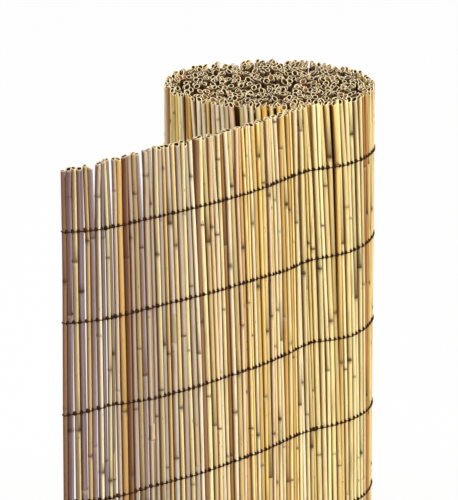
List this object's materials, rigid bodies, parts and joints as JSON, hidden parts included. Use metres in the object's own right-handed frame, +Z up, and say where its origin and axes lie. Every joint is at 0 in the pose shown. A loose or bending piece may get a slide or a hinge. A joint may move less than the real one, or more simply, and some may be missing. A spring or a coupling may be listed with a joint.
{
  "type": "reed screen",
  "caption": "Upright roll of natural reed screening with its outer end pulled loose: hollow reeds set side by side and bound by rows of thin wire.",
  "frame": {"origin": "centre of the roll at its foot, on the plane that the reeds stand on", "axes": "+Z up along the reeds and the roll's axis; -Y from the roll towards the picture's viewer; the loose end leaves the roll at the front right and runs towards -X and -Y"},
  "size_m": [0.3623, 0.5325, 1],
  "materials": {
    "reed": "dry and matte, with a faint sheen on the stems",
    "wire": "dull dark brown"
  },
  "bodies": {
    "root": {"reed_mat": "reed", "binding_wire_1": "wire", "binding_wire_2": "wire", "binding_wire_3": "wire", "binding_wire_4": "wire", "binding_wire_5": "wire", "binding_wire_6": "wire", "binding_wire_7": "wire", "binding_wire_8": "wire", "binding_wire_9": "wire"}
  },
  "joints": []
}
